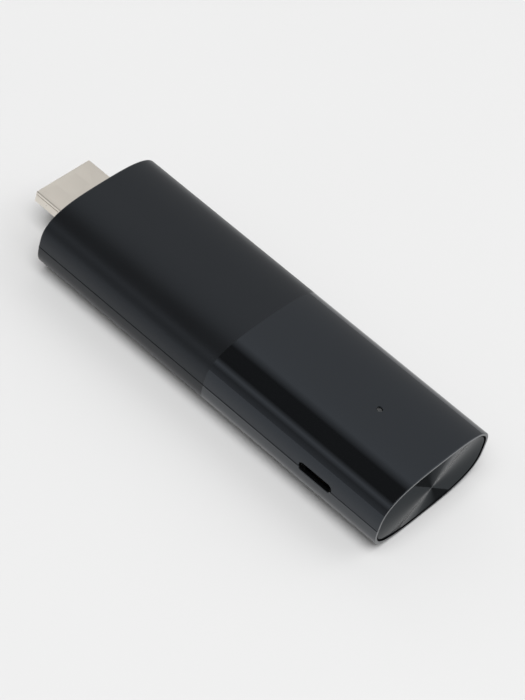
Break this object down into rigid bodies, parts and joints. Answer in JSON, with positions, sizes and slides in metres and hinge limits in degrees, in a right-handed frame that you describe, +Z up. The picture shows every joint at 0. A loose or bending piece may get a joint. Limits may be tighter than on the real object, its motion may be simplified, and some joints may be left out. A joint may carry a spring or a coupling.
{
  "type": "streaming media player",
  "caption": "Flat black media stick with a video plug at one end, a power socket in one side, a status light and a recessed end cap.",
  "frame": {"origin": "middle of the bounding box's bottom face, on the surface the stick lies on", "axes": "+X along the stick from the video plug towards the end cap, +Z up out of the face with the status light, -Y towards the side with the power socket"},
  "size_m": [0.0924, 0.0302, 0.0152],
  "materials": {
    "cover_plastic": "black moulded plastic, fine matte texture on the plug half and polished on the cap half",
    "end_cap_plastic": "polished black plastic with very fine turned rings",
    "adhesive": "thin double-sided adhesive",
    "plug_nickel": "satin nickel plate",
    "insulator_plastic": "satin moulded black",
    "contact_gold": "gold plate",
    "socket_steel": "satin nickel plate",
    "board_laminate": "green solder mask",
    "chip_resin": "moulded package",
    "shield_tin": "bright tin plate",
    "thermal_pad": "soft filled silicone",
    "spreader_aluminium": "rolled sheet",
    "antenna_bronze": "plated stamping",
    "led_lens": "clear resin over a phosphor",
    "clear_acrylic": "clear moulded acrylic",
    "ferrite": "pressed ferrite",
    "capacitor_ceramic": "ceramic with tinned ends",
    "resistor_ceramic": "coated ceramic with tinned ends"
  },
  "bodies": {
    "root": {"top_cover": "cover_plastic", "bottom_cover": "cover_plastic", "end_cap": "end_cap_plastic", "end_cap_adhesive": "adhesive", "hdmi_plug_shell": "plug_nickel", "hdmi_plug_insulator": "insulator_plastic", "hdmi_plug_contacts": "contact_gold", "usb_socket_shell": "socket_steel", "usb_socket_tongue": "insulator_plastic", "usb_socket_contacts": "contact_gold", "circuit_board": "board_laminate", "main_processor": "chip_resin", "memory_chips": "chip_resin", "storage_chip": "chip_resin", "processor_shield_frame": "shield_tin", "processor_shield_lid": "shield_tin", "wireless_chip": "chip_resin", "wireless_shield_frame": "shield_tin", "wireless_shield_lid": "shield_tin", "upper_thermal_pads": "thermal_pad", "upper_heat_spreader": "spreader_aluminium", "lower_thermal_pad": "thermal_pad", "lower_heat_spreader": "spreader_aluminium", "left_antenna": "antenna_bronze", "right_antenna": "antenna_bronze", "status_led": "led_lens", "light_pipe": "clear_acrylic", "power_inductors": "ferrite", "power_converters": "chip_resin", "surge_protectors": "chip_resin", "clock_crystals": "shield_tin", "capacitors": "capacitor_ceramic", "resistors": "resistor_ceramic"}
  },
  "joints": []
}
